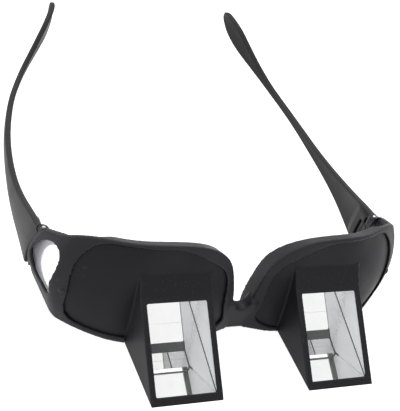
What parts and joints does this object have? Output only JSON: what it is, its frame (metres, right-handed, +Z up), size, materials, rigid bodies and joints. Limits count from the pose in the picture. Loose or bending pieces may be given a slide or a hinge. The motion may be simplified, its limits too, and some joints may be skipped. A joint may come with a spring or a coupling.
{
  "type": "prism bed glasses",
  "caption": "Wraparound spectacles with an opaque front, a sloping prism hood before each eye and folding temples, lying on the brow edge.",
  "frame": {"origin": "middle of the bridge's lower face, in the plane that the brow edge and the hoods rest on", "axes": "+X from the wearer's left to the right, +Y from the front to the temple tips, +Z up from the surface that the brow edge lies on"},
  "size_m": [0.152, 0.1798, 0.0473],
  "materials": {
    "frame": "soft matt black",
    "panel": "soft matt black",
    "prism": "clear, polished, with ground sides and a mirrored lower face",
    "retainer": "matt black",
    "side_window": "clear moulded pane",
    "temple": "soft matt black",
    "screw": "bright"
  },
  "bodies": {
    "front": {"front_frame": "frame", "left_lens_panel": "panel", "right_lens_panel": "panel", "left_prism": "prism", "right_prism": "prism", "left_prism_retainer": "retainer", "right_prism_retainer": "retainer", "left_side_window": "side_window", "right_side_window": "side_window", "left_hinge_screw": "screw", "right_hinge_screw": "screw"},
    "left_arm": {"left_temple": "temple"},
    "right_arm": {"right_temple": "temple"}
  },
  "joints": [
    {"name": "left_temple_fold", "type": "hinge", "parent": "front", "child": "left_arm", "pos_m": [-0.0722, 0.0307, 0.0155], "axis": [0, 0, -1], "range_deg": [0, 85]},
    {"name": "right_temple_fold", "type": "hinge", "parent": "front", "child": "right_arm", "pos_m": [0.0722, 0.0307, 0.0155], "axis": [0, 0, 1], "range_deg": [0, 79]}
  ]
}
